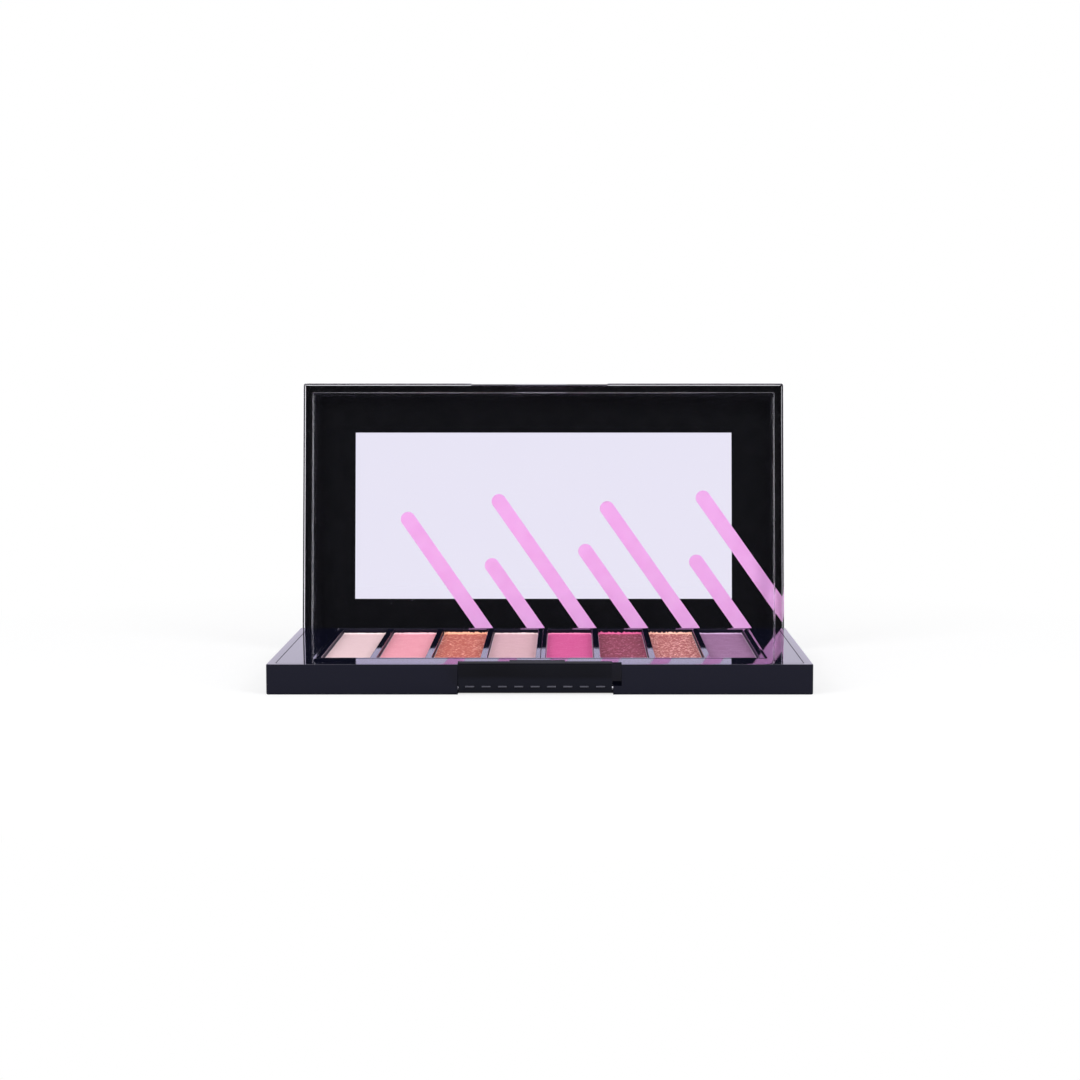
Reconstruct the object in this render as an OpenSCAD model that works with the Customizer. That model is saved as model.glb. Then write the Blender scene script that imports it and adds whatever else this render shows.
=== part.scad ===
// Eight-shade eyeshadow palette: a black base with two pan trays, a clear lid with a printed
// window frame on steel hinge pins, and a flip latch at the front.
// Origin: centre of the base's bottom face. +X right, +Y towards the hinge, +Z up.
// The lid and the latch are drawn shut, then turned about their pins to the rest position:
// lid wide open on its stop, latch flipped out.

/* [Palette] */
// Width of the base and of the lid
palette_w = 134; // [130:1:140]
// Depth of the base and of the lid, latch side to hinge side
palette_d = 73.5; // [73:0.5:76]
// Height of the base
base_h = 7.5; // [7:0.1:8]
// Height of the lid above its parting face
lid_h = 5; // [4.6:0.1:6]
// Radius of the upright corner edges
corner_r = 0.6; // [0.4:0.1:1]
// Thickness of the base's outer walls
base_wall = 2.05; // [1.9:0.05:2.2]

/* [Pans] */
// Inside width of one pan cell
cell_w = 12.24; // [12:0.02:12.3]
// Inside length of one pan cell
cell_d = 56.7; // [56:0.1:57]
// Width of a divider between two cells of a tray
divider_w = 1.56; // [1.3:0.02:1.6]
// Thickness of a tray's own outer wall
tray_wall = 1.15; // [1:0.05:1.2]
// Depth of the powder's surface below the rim
powder_drop = 1.3; // [1.1:0.1:1.6]
// Thickness of a pan's sheet metal
pan_t = 0.25; // [0.2:0.05:0.4]

/* [Lid] */
// Angle of the open lid from its shut position
lid_open = 97; // [90:1:98]
// Width of the lid's side walls
lid_wall = 2.6; // [2.4:0.1:2.8]
// Width of the clear window
window_w = 105.6; // [100:0.2:108]
// Depth of the clear window
window_d = 46.7; // [44:0.1:48]
// Width of a stripe of the printed motif
stripe_w = 4.1; // [3:0.1:5]

/* [Latch] */
// Width of the latch flap
latch_w = 37.6; // [36:0.2:37.8]
// Angle of the flipped-out latch from its shut position
latch_open = 25; // [15:1:35]
// Width of the recess in the base's front
recess_w = 40.2; // [40:0.1:41]
// Depth of the recess, front to back
recess_d = 4; // [3.8:0.1:4.5]

/* [Hidden] */
$fn = 48;

black = [0.06, 0.06, 0.08];
pink = [0.93, 0.63, 0.92];
steel = [0.75, 0.75, 0.77];
shade_colours = [
    [0.91, 0.80, 0.82], [0.96, 0.63, 0.70], [0.80, 0.47, 0.41], [0.86, 0.70, 0.74],
    [0.87, 0.37, 0.63], [0.59, 0.29, 0.39], [0.80, 0.55, 0.49], [0.63, 0.45, 0.61]
];

eps = 0.01;              // overlap that keeps cuts clean
front_y = -palette_d/2;
rear_y = palette_d/2;

// Base
floor_t = 1.3;
ledge_w = 1;             // shelf inside the walls that carries the bezel
bezel_t = 1.2;
bezel_z = base_h - bezel_t;
seam = 0.1;              // parting line between base and bezel
cavity_inset = base_wall + ledge_w;

// Pan trays
tray_w = 4*cell_w + 3*divider_w + 2*tray_wall;
tray_d = cell_d + 2*tray_wall;
tray_y = 3.75;           // centre of the trays, nearer the hinge than the latch
tray_gap = 0.1;          // seam between the two trays
cell_pitch = cell_w + divider_w;
cell_floor_z = 2.5;
cell_r = 0.4;
well_w = 2*tray_w + tray_gap + 0.1;
well_d = tray_d + 0.1;
well_bevel = 0.7;
pan_fit = 0.06;          // play of a pan in its cell
powder_z = base_h - powder_drop;
pan_rim_z = powder_z + 0.1;

// Lid and its hinge
lid_gap = 0.2;
lid_z = base_h + lid_gap;
lid_top_z = lid_z + lid_h;
lid_plate_t = 1.2;
film_t = 0.2;            // printed layer on the lid's outer face
film_inset = 0.3;        // clear margin between the print and the lid's edge
hinge_y = rear_y - 1.6;
hinge_z = base_h - 3.65;
hinge_sweep_r = base_h - hinge_z;
knuckle_r = 1.25;
knuckle_x = 58.6;        // inner end of a lid knuckle
knuckle_w = 4.4;
knuckle_play = 0.2;
arm_front = -0.4;        // faces of the knuckle's arm, from the hinge axis
arm_rear = 1.2;
hinge_pin_r = 0.6;
hinge_pin_in_x = 57.4;
slot_floor_z = 1.8;
running_fit = 0.05;
press_fit = 0.01;

// Latch
latch_x = -1.1;          // the flap sits towards the left end of its recess
latch_pivot_y = front_y + 1.35;
latch_pivot_z = 1.5;
latch_barrel_r = 1.25;
latch_plate_t = 1.1;
latch_face = -1.3;       // flap's outer face from the pivot axis
latch_top = base_h + 0.5; // flap's top edge from the pivot axis
latch_edge_r = 0.5;
latch_pin_r = 0.4;
heel_clear = 1.5;        // room behind the pivot for the barrel to turn
strip_z = 2.2;           // top of the ledge beside and behind the barrel
end_rib_t = 1;
end_rib_depth = 1.3;
grip_pitch = 4;
grip_count = 9;
grip_size = [2.2, 0.25, 0.35];
grip_z = 1.1;            // height of the grip row above the pivot axis
catch_x = -0.6;
catch_w = 14.1;
catch_bar_h = 0.7;
catch_slot_h = 1;
tooth_play = 0.6;
latch_pocket_w = 38.1;
latch_pocket_d = 1.3;
latch_pocket_h = 2.1;

// Printed motif: slanted stripes that run off the lid's hinge-side edge
stripe_lean = 35;        // degrees from upright
stripe_pitch = 14.5;
stripe_first_foot = -13; // where the left stripe meets the edge
stripe_tops = [1, 14, -4, 10, -2, 13, -5];

// Shapes

module rounded_rect(w, d, r) {
    square([w - 2*r, d], center = true);
    square([w, d - 2*r], center = true);
    for (x = [-1, 1], y = [-1, 1])
        translate([x*(w/2 - r), y*(d/2 - r)]) circle(r);
}

// Upright slab about the origin, from height z0 to height z1
module slab(w, d, z0, z1, r) {
    translate([0, 0, z0]) linear_extrude(z1 - z0) rounded_rect(w, d, r);
}

module box(x, y, z) {
    translate([x[0], y[0], z[0]]) cube([x[1] - x[0], y[1] - y[0], z[1] - z[0]]);
}

module rod(r, x0, x1) {
    translate([x0, 0, 0]) rotate([0, 90, 0]) cylinder(r = r, h = x1 - x0);
}

// Outline in the YZ plane, drawn along X
module along_x(x0, x1) {
    translate([x0, 0, 0]) rotate([90, 0, 90]) linear_extrude(x1 - x0) children();
}

// Trapezium with its narrow side down
module flare(bottom, top, z0, z1) {
    polygon([[-bottom/2, z0], [bottom/2, z0], [top/2, z1], [-top/2, z1]]);
}

// Opening that widens upwards by the bevel on all four sides
module flared_opening(w, d, bevel, z0, z1) {
    intersection() {
        rotate([90, 0, 0]) linear_extrude(2*d, center = true) flare(w, w + 2*bevel, z0, z1);
        rotate([90, 0, 90]) linear_extrude(2*w, center = true) flare(d, d + 2*bevel, z0, z1);
    }
}

module at_hinge() {
    translate([0, hinge_y, hinge_z]) children();
}

module at_latch_pivot() {
    translate([0, latch_pivot_y, latch_pivot_z]) children();
}

module open_lid() {
    at_hinge() rotate([-lid_open, 0, 0]) translate([0, -hinge_y, -hinge_z]) children();
}

module flipped_latch() {
    at_latch_pivot() rotate([latch_open, 0, 0]) children();
}

// Base

module hinge_slots() {
    for (side = [-1, 1]) mirror([side < 0 ? 1 : 0, 0, 0])
        box([knuckle_x - knuckle_play, knuckle_x + knuckle_w + knuckle_play],
            [hinge_y - knuckle_r - 0.5, rear_y + 1], [slot_floor_z, base_h + 1]);
}

// Room for the shut flap: open at the front and top, and at the bottom under the barrel
module latch_recess() {
    back = front_y + recess_d;
    box([-recess_w/2, recess_w/2], [front_y - 1, back], [strip_z, base_h + 1]);
    box([-recess_w/2, latch_x + latch_w/2 + 0.3],
        [front_y - 1, latch_pivot_y + heel_clear], [-1, strip_z + eps]);
}

module latch_recess_walls() {
    wall = 1.1;
    box([-recess_w/2 - wall, recess_w/2 + wall],
        [front_y + base_wall - eps, front_y + recess_d + wall], [floor_t - eps, bezel_z]);
}

// Rounds the rear rim about the hinge axis, so that the lid's wall can roll over it
module rear_rim_round() {
    difference() {
        box([-palette_w, palette_w], [hinge_y, rear_y + 1], [hinge_z, base_h + 1]);
        at_hinge() rod(hinge_sweep_r, -palette_w - 1, palette_w + 1);
    }
}

module base_shell() {
    color(black) difference() {
        union() {
            difference() {
                slab(palette_w, palette_d, 0, base_h, corner_r);
                slab(palette_w - 2*cavity_inset, palette_d - 2*cavity_inset,
                     floor_t, base_h + 1, corner_r);
                slab(palette_w - 2*base_wall, palette_d - 2*base_wall,
                     bezel_z, base_h + 1, corner_r);
            }
            latch_recess_walls();
        }
        latch_recess();
        hinge_slots();
        rear_rim_round();
        at_hinge() for (side = [-1, 1]) mirror([side < 0 ? 1 : 0, 0, 0])
            rod(hinge_pin_r + press_fit, hinge_pin_in_x, palette_w/2 + 1);
        at_latch_pivot() rod(latch_pin_r + press_fit, -recess_w/2 - 2.2, recess_w/2 + 2.2);
    }
}

module bezel() {
    w = palette_w - 2*base_wall - 2*seam;
    d = palette_d - 2*base_wall - 2*seam;
    color(black) difference() {
        slab(w, d, bezel_z, base_h, corner_r);
        translate([0, tray_y, 0]) {
            slab(well_w, well_d, bezel_z - 1, base_h, cell_r);
            flared_opening(well_w, well_d, well_bevel, base_h - well_bevel, base_h + eps);
        }
        box([-recess_w/2, recess_w/2], [front_y, front_y + recess_d], [0, base_h + 1]);
    }
}

// Centre of cell i, counted 1 to 8 from the left
function cell_x(i) =
    let (side = i > 4 ? 1 : -1, from_seam = i > 4 ? i - 5 : 4 - i)
    side*(tray_gap/2 + tray_wall + cell_w/2 + from_seam*cell_pitch);

module pan_tray(first_cell) {
    side = first_cell > 4 ? 1 : -1;
    color(black) difference() {
        translate([side*(tray_gap + tray_w)/2, tray_y, 0])
            slab(tray_w, tray_d, floor_t, base_h, cell_r);
        for (i = [first_cell:first_cell + 3]) translate([cell_x(i), tray_y, 0])
            slab(cell_w, cell_d, cell_floor_z, base_h + 1, cell_r);
    }
}

module pan(i) {
    w = cell_w - 2*pan_fit;
    d = cell_d - 2*pan_fit;
    color(steel) translate([cell_x(i), tray_y, 0]) difference() {
        slab(w, d, cell_floor_z, pan_rim_z, cell_r);
        slab(w - 2*pan_t, d - 2*pan_t, cell_floor_z + pan_t, pan_rim_z + 1, cell_r - pan_t/2);
    }
}

module shade(i) {
    inset = 2*(pan_fit + pan_t);
    color(shade_colours[i - 1]) translate([cell_x(i), tray_y, 0])
        slab(cell_w - inset, cell_d - inset, cell_floor_z + pan_t, powder_z, cell_r - pan_t/2);
}

// Lid

// Barrel round the pin, and the arm that joins it to the lid's rear wall
module lid_knuckle() {
    at_hinge() along_x(knuckle_x, knuckle_x + knuckle_w) {
        circle(knuckle_r);
        translate([arm_front, 0]) square([arm_rear - arm_front, lid_z - hinge_z + 1]);
    }
}

// Pocket for the flap's top, and the slot that leaves a bar for its tooth
module latch_pocket() {
    box([latch_x - latch_pocket_w/2, latch_x + latch_pocket_w/2],
        [front_y - 1, front_y + latch_pocket_d], [lid_z - 1, lid_z + latch_pocket_h]);
    box([catch_x - catch_w/2, catch_x + catch_w/2], [front_y, front_y + lid_wall + 1],
        [lid_z + catch_bar_h, lid_z + catch_bar_h + catch_slot_h]);
}

module lid_shell() {
    color([0.85, 0.85, 0.92], 0.35) open_lid() difference() {
        union() {
            difference() {
                slab(palette_w, palette_d, lid_z, lid_top_z - film_t, corner_r);
                slab(palette_w - 2*lid_wall, palette_d - 2*lid_wall,
                     lid_z - 1, lid_top_z - lid_plate_t, corner_r);
            }
            for (side = [-1, 1]) mirror([side < 0 ? 1 : 0, 0, 0]) lid_knuckle();
        }
        latch_pocket();
        at_hinge() for (side = [-1, 1]) mirror([side < 0 ? 1 : 0, 0, 0])
            rod(hinge_pin_r + running_fit, knuckle_x - 1, knuckle_x + knuckle_w + 1);
    }
}

module film_outline() {
    rounded_rect(palette_w - 2*film_inset, palette_d - 2*film_inset, corner_r - film_inset);
}

// Stripe from its foot on the hinge-side edge up to its round end
module stripe(foot_x, top_y) {
    length = (rear_y - top_y)/cos(stripe_lean);
    translate([foot_x, rear_y]) rotate(-stripe_lean) {
        translate([0, -length]) circle(stripe_w/2);
        translate([-stripe_w/2, -length]) square([stripe_w, length + stripe_w]);
    }
}

module motif_outline() {
    intersection() {
        film_outline();
        for (i = [0:len(stripe_tops) - 1])
            stripe(stripe_first_foot + i*stripe_pitch, stripe_tops[i]);
    }
}

module lid_border() {
    color(black) open_lid() translate([0, 0, lid_top_z - film_t]) linear_extrude(film_t)
        difference() {
            film_outline();
            square([window_w, window_d], center = true);
            motif_outline();
        }
}

module lid_motif() {
    color(pink) open_lid() translate([0, 0, lid_top_z - film_t]) linear_extrude(film_t)
        motif_outline();
}

module hinge_pins() {
    color(steel) at_hinge() for (side = [-1, 1]) mirror([side < 0 ? 1 : 0, 0, 0])
        rod(hinge_pin_r, hinge_pin_in_x, palette_w/2 - 0.2);
}

// Latch, drawn about its pivot axis

module flap_profile() {
    plate_back = latch_face + latch_plate_t;
    circle(latch_barrel_r);
    translate([latch_face, 0]) square([latch_plate_t, latch_top - latch_edge_r]);
    translate([latch_face + latch_edge_r, latch_top - latch_edge_r]) circle(latch_edge_r);
    translate([latch_face + latch_edge_r, 0]) square([latch_plate_t - latch_edge_r, latch_top]);
}

module latch_tooth() {
    half = (catch_w - tooth_play)/2;
    box([catch_x - half, catch_x + half], [latch_face + latch_plate_t - eps, 0.65],
        [lid_z + catch_bar_h - latch_pivot_z + 0.15, lid_z + catch_bar_h - latch_pivot_z + 0.85]);
}

module latch_grips() {
    for (i = [0:grip_count - 1])
        translate([latch_x + (i - (grip_count - 1)/2)*grip_pitch - grip_size[0]/2,
                   latch_face - grip_size[1] + eps, grip_z])
            cube(grip_size);
}

module latch() {
    x0 = latch_x - latch_w/2;
    x1 = latch_x + latch_w/2;
    color(black) flipped_latch() difference() {
        union() {
            along_x(x0, x1) flap_profile();
            for (x = [x0, x1 - end_rib_t])
                box([x, x + end_rib_t], [latch_face, latch_face + latch_plate_t + end_rib_depth],
                    [0, latch_top - 3]);
            latch_tooth();
            latch_grips();
        }
        rod(latch_pin_r + running_fit, x0 - 1, x1 + 1);
    }
}

module latch_pin() {
    color(steel) at_latch_pivot() rod(latch_pin_r, -recess_w/2 - 2.1, recess_w/2 + 2.1);
}

base_shell();
bezel();
pan_tray(1);  // pan_tray_left
pan_tray(5);  // pan_tray_right
for (i = [1:8]) pan(i);
for (i = [1:8]) shade(i);
lid_shell();
lid_border();
lid_motif();
hinge_pins();
latch();
latch_pin();
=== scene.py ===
"""Looks for an open eyeshadow palette: black base, eight pans, clear lid with a printed frame, flip latch.

Sizes are in millimetres, as in the CAD source, and become metres when a piece is finished. Lamps and
camera are placed in metres, and texture scales count per metre. The lid is drawn shut and the latch
upright about its own pivot, and both are then turned to the open rest position.
"""

import math

import bmesh
import bpy
from mathutils import Matrix, Vector, noise


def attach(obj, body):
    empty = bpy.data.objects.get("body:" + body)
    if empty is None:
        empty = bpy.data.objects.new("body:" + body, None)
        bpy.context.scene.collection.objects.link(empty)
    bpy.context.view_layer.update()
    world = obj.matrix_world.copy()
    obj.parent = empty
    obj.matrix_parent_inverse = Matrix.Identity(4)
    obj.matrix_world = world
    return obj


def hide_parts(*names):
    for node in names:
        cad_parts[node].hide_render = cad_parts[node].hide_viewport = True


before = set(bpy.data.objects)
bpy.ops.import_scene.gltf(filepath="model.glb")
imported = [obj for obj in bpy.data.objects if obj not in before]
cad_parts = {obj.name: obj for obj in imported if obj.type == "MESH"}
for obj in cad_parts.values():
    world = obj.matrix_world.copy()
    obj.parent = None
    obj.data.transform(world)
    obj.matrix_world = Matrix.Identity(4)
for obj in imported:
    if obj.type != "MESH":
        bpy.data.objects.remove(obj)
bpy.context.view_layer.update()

MM = 0.001
CUT_PAST = 1.0           # a cutting shape reaches this far past the piece it cuts

# Base
WIDTH = 134.0
DEPTH = 73.5
BASE_H = 7.5
CORNER_R = 0.6
INNER_CORNER_R = 0.35    # smallest corner radius of a loop inside the outline
WALL = 2.05
LEDGE = 1.0
FLOOR_T = 1.3
FRONT_Y = -DEPTH / 2
REAR_Y = DEPTH / 2
BASE_FOOT_R = 0.35
BASE_RIM_R = 0.2
LEDGE_R = 0.1
SEAM_EDGE_R = 0.02       # edges on either side of the seam between rim and bezel
BOTTOM_FACE_IN = 3.6     # the bottom's and the floor's flat faces start this far inside
FLOOR_FACE_IN = 4.4
RIM_LINE_IN = 1.0        # extra line along the rim, which keeps its top flat in the shading

# Bezel and pan trays
BEZEL_Z = BASE_H - 1.2
BEZEL_EDGE_R = 0.06
BEZEL_LINE_IN = 0.6
SEAM = 0.18
CELL_W = 12.24
CELL_D = 56.7
CELL_FLOOR_Z = 2.5
CELL_R = 0.4
CELL_EDGE_R = 0.07
DIVIDER_W = 1.56
TRAY_WALL = 1.15
TRAY_GAP = 0.1
TRAY_FOOT_R = 0.2
TRAY_EDGE_R = 0.08
TRAY_FACE_IN = 1.0
TRAY_W = 4 * CELL_W + 3 * DIVIDER_W + 2 * TRAY_WALL
TRAY_D = CELL_D + 2 * TRAY_WALL
TRAY_Y = 3.75
WELL_FIT = 0.1
WELL_W = 2 * TRAY_W + TRAY_GAP + WELL_FIT
WELL_D = TRAY_D + WELL_FIT
WELL_BEVEL = 0.7

# Pans
PAN_FIT = 0.02
PAN_T = 0.25
PAN_RIM_T = 0.16
PAN_RIM_R = 0.07
PAN_RIM_Z = BASE_H - 1.2
PAN_FOOT_R = 0.2
PAN_CORNER_R = 0.12      # smallest corner radius of a loop inside the pan
PAN_FACE_IN = 2.0

# Powder cakes
CAKE_FIT = 0.01
CAKE_CORNER = 0.08
CAKE_Z = PAN_RIM_Z - 0.09
CAKE_LIP_Z = PAN_RIM_Z
CAKE_STEP_X = 0.3
CAKE_STEP_Y = 0.45
CAKE_FINE_STEP = 0.16
CAKE_FINE_REAR = 2.4     # the grid is fine over this much of the cake's rear end
CAKE_EDGE_LINES = (0.0, 0.10, 0.20, 0.34, 0.52, 0.75, 1.05)
REAR_BAND = 2.6          # the rear edge is worn and crumbled over this width
LIP_W = 0.14
LIP_W_RAGGED = 0.16
LIP_W_REAR = 0.9
LIP_REAR_RISE = 0.18
LIP_REAR_CRUMBLE = 0.26
LIP_CURVE = 0.6
TROUGH_DEPTH = 0.01
TROUGH_REAR_DEPTH = 0.14
TROUGH_W = 0.35
CRUMB_H = 0.7
CRUMB_LOW = -0.2
CRUMB_HIGH = 0.35
WAVE_H = 0.03            # slow and fine unevenness of the whole face
WAVE_FINE_H = 0.012

# Hinge
HINGE_Y = REAR_Y - 1.6
HINGE_Z = BASE_H - 3.65
RIM_SWEEP_R = BASE_H - HINGE_Z
KNUCKLE_R = 1.25
KNUCKLE_X = 58.6
KNUCKLE_W = 4.4
BARREL_START = 108.66    # the barrel's arc, in degrees, from the arm's front face round to inside the arm
BARREL_SWEEP = 302.6
ARM_FRONT = 0.4
ARM_REAR = 1.2
ARM_FOOT = 0.35
ARM_ROOT = 0.8           # the arm reaches this far up into the lid's wall
SLOT_GAP = 0.2
SLOT_FRONT_GAP = 0.5
SLOT_FLOOR_Z = 1.8
HINGE_PIN_R = 0.6
PIN_FIT = 0.02
BORE_X = 64.0

# Lid
LID_OPEN = 97.0
LID_Z = BASE_H + 0.2
LID_TOP_Z = LID_Z + 5.0
LID_WALL = 2.6
LID_PLATE_T = 1.2
LID_FACE_IN = 8.0
LID_CORNER_R = 0.35      # between plate and wall
LID_INNER_EDGE_R = 0.2
LID_OUTER_EDGE_R = 0.52
LID_TOP_EDGE_R = 0.1
OPEN_LID_TOP_Z = 74.6    # heights of the open lid's latch-side edge and of its hinge-side wall
OPEN_LID_FOOT_Z = 4.4
POCKET_W = 38.1
POCKET_D = 1.3
POCKET_H = 2.1
POCKET_BEVEL = 0.5
CATCH_X = -0.6
CATCH_W = 14.1
CATCH_BAR_H = 0.7
CATCH_SLOT_H = 1.0
FILM_T = 0.2
FILM_BOND = 0.02         # the plate reaches this far into the ink, so that no air shows between them

# Latch, and the recess it sits in
RECESS_W = 40.2
RECESS_BACK = FRONT_Y + 4.0
RECESS_STRIP_Z = 2.2
RECESS_SIDE_GAP = 0.3
RECESS_BARREL_ROOM = 1.5
RECESS_OVERLAP = 0.01    # the lower cut runs this far into the upper one
BACKING_T = 1.1
BACKING_BOND = 0.2
LATCH_X = -1.1
LATCH_W = 37.6
LATCH_OPEN = 25.0
LATCH_Y = FRONT_Y + 1.35
LATCH_Z = 1.5
BARREL_R = 1.25
FLAP_FACE = -1.3
FLAP_BACK = -0.2
FLAP_TOP = BASE_H + 0.5
FLAP_TOP_R = 0.6
FLAP_TOP_BACK_R = 0.15
FLAP_FACE_FOOT = 0.15
FLAP_BACK_FOOT = 4.0
FLAP_END_R = 0.3
RIB_W = 0.95
RIB_IN = 0.05
RIB_FRONT = FLAP_FACE + 0.4
RIB_BACK = FLAP_BACK + 1.3
RIB_TOP = FLAP_TOP - 3
TOOTH_GAP = 0.15
TOOTH_SIDE_GAP = 0.3
TOOTH_BOND = 0.1
TOOTH_BACK = 0.65
TOOTH_T = 0.7
GRIP_PITCH = 4.0
GRIP_COUNT = 9
GRIP_W = 2.2
GRIP_OUT = 0.25
GRIP_H = 0.35
GRIP_Z = 1.1
GRIP_BOND = 0.1
GRIP_EDGE_R = 0.1
GRIP_CORNER_R = 0.12

# Colours and finishes
SPECK_ON_PLASTIC = (0.55, 0.55, 0.58)
SPECK_ON_INK = (0.45, 0.45, 0.48)
MATT = 0.6
MATT_BLUR = 0.02         # heights over which the matt part and the latch's painted reflection fade in
PAINTED_REFLECTION_BLUR = 0.6
BLACK = ((0.0018, 0.0022, 0.0082), (0.0030, 0.0034, 0.0104))          # fresh and worn
# the latch's second tone is worn plastic, and low down on the latch also a painted reflection of the floor
LATCH_BLACK = ((0.0008, 0.0010, 0.0028), (0.0062, 0.0070, 0.0140))
# pale grey of the grip bars: a painted highlight of their lit tops
GRIP_GREY = ((0.075, 0.075, 0.095), (0.11, 0.11, 0.135))
PAN_SHEET = (0.50, 0.47, 0.49)
STEEL = (0.70, 0.70, 0.72)
BLACK_INK = ((0.0038, 0.0042, 0.0046), (0.0056, 0.0060, 0.0064))      # full and thin
PINK_INK = ((0.91, 0.44, 0.80), (0.94, 0.49, 0.84))
LID_PLATE_TINTS = ((0.37, 0.305, 0.73), (0.39, 0.325, 0.745))
LID_WALL_TINT = (0.93, 0.92, 0.985)
LID_PLATE_ALPHA = 0.25
LID_MASK_BLUR = 0.02
LATCH_PAINTED_REFLECTION_Z = 4.4       # the flipped-out latch's colour is painted lighter below this height, a painted reflection of the floor
TRAY_MATT_Z = BASE_H - 0.12

# Shades, left to right: colour, fleck colour, amount of shimmer, amount of crumbling
SHADES = (
    ((0.81, 0.56, 0.595), (0.98, 0.80, 0.80), 0.15, 0.3),
    ((0.88, 0.31, 0.40), (1.0, 0.60, 0.66), 0.25, 0.5),
    ((0.515, 0.084, 0.053), (1.0, 0.50, 0.34), 0.60, 1.0),
    ((0.67, 0.385, 0.44), (0.95, 0.72, 0.74), 0.20, 0.4),
    ((0.66, 0.048, 0.262), (0.93, 0.30, 0.52), 0.20, 0.3),
    ((0.190, 0.003, 0.029), (0.74, 0.13, 0.32), 0.50, 1.0),
    ((0.40, 0.073, 0.073), (1.0, 0.56, 0.45), 0.70, 1.0),
    ((0.265, 0.10, 0.245), (0.66, 0.46, 0.70), 0.20, 0.3),
)

# Lamps, in metres and watts
SIDE_LAMP_PLACE = (0.80, -0.70, 0.55)
SIDE_LAMP_TARGET = (0.0, 0.0, 0.03)
SIDE_LAMP_SIZE = (0.5, 1.0)
SIDE_LAMP_POWER = 9.2
TOP_LAMP_PLACE = (0.0, -0.45, 0.95)
TOP_LAMP_TARGET = (0.0, 0.0, 0.0)
TOP_LAMP_SIZE = (0.8, 0.4)
TOP_LAMP_POWER = 3.0

# Room. Seen directly it is plain white. In reflections it is dim straight in front and bright elsewhere.
ROOM_LIGHT = 0.42             # strength as light on the object
ROOM_MIRRORED = (0.05, 1.15)
ROOM_MIRRORED_TINT = (0.87, 0.82, 1.0)
ROOM_TURN = (-0.95, -0.35)    # Y of the directions between which the mirrored room brightens
WHITE = (1.0, 1.0, 1.0)

# Floor
FLOOR_HALF = 1500.0
FLOOR_PAPER = ((0.235, 0.235, 0.24), (0.25, 0.25, 0.255))
FLOOR_GLOW = 0.72             # only where it is seen directly
FLOOR_FADE = (0.08, 0.22)     # distances in metres between which it turns plain white

# Camera, fitted to the base's corners in the photograph; places in metres
CAMERA_PLACE = (0.00747, -0.58513, 0.08485)
CAMERA_DOWN = 4.879
CAMERA_LENS = 75.37
CAMERA_SENSOR = 36.0
CAMERA_SHIFT_X = -0.02794

# Pairs for masks
ZERO_TO_ONE = (0.0, 1.0)
ONE_TO_ZERO = (1.0, 0.0)


# ---------------------------------------------------------------- mesh helpers

def rect_loop(w, d, r, z, centre=(0.0, 0.0), steps=5):
    """Points of a rounded rectangle at height z, anticlockwise from the right."""
    points = []
    for x_side, y_side, start in ((1, 1, 0), (-1, 1, 90), (-1, -1, 180), (1, -1, 270)):
        for k in range(steps + 1):
            a = math.radians(start + 90 * k / steps)
            x = centre[0] + x_side * (w / 2 - r) + r * math.cos(a)
            y = centre[1] + y_side * (d / 2 - r) + r * math.sin(a)
            points.append((x, y, z))
    return points


def outline_loop(u, z):
    """Loop that lies u inside the palette's outline."""
    return rect_loop(WIDTH - 2 * u, DEPTH - 2 * u, max(CORNER_R - u, INNER_CORNER_R), z)


def arc(centre, r, start, sweep, steps):
    """Points on a circle in the (y, z) plane, from the angle start through sweep, in degrees."""
    points = []
    for k in range(steps + 1):
        a = math.radians(start + sweep * k / steps)
        points.append((centre[0] + r * math.cos(a), centre[1] + r * math.sin(a)))
    return points


def along_x(section, ends):
    """Loops that carry a (y, z) section to each given x."""
    return [[(x, y, z) for y, z in section] for x in ends]


def both_sides(x0, x1):
    """The stretch x0 to x1 on the left side and on the right side."""
    return (-x1, -x0), (x0, x1)


def rounded_path(corners, steps=4):
    """Open path through (u, z, radius) corners, each turned on an arc of its radius."""
    path = []
    for i, (u, z, r) in enumerate(corners):
        here = Vector((u, z))
        if r <= 0 or i in (0, len(corners) - 1):
            path.append(tuple(here))
            continue
        before = (Vector(corners[i - 1][:2]) - here).normalized()
        after = (Vector(corners[i + 1][:2]) - here).normalized()
        half = before.angle(after) / 2
        reach = r / math.tan(half)
        centre = here + (before + after).normalized() * (r / math.sin(half))
        start = here + before * reach - centre
        end = here + after * reach - centre
        turn = start.angle_signed(end)
        for k in range(steps + 1):
            a = -turn * k / steps
            spoke = Vector((start.x * math.cos(a) - start.y * math.sin(a),
                            start.x * math.sin(a) + start.y * math.cos(a)))
            path.append(tuple(centre + spoke))
    return path


def loft(bm, loops, cap_first=True, cap_last=True, closed=False):
    """Skin over loops that have the same number of points."""
    rings = [[bm.verts.new(p) for p in loop] for loop in loops]
    pairs = list(zip(rings, rings[1:]))
    if closed:
        pairs.append((rings[-1], rings[0]))
    count = len(rings[0])
    for low, high in pairs:
        for k in range(count):
            n = (k + 1) % count
            bm.faces.new((low[k], low[n], high[n], high[k]))
    if cap_first:
        bm.faces.new(list(reversed(rings[0])))
    if cap_last:
        bm.faces.new(rings[-1])
    return rings


def ring_edges(bm, ring):
    """Edges between neighbouring points of a ring."""
    return [bm.edges.get((a, b)) for a, b in zip(ring, ring[1:] + ring[:1])]


def add_box(bm, x, y, z):
    """Box between the given limits, each a (low, high) pair."""
    low = [(x[0], y[0], z[0]), (x[0], y[1], z[0]), (x[1], y[1], z[0]), (x[1], y[0], z[0])]
    high = [(px, py, z[1]) for px, py, _ in low]
    loft(bm, [low, high])


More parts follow.
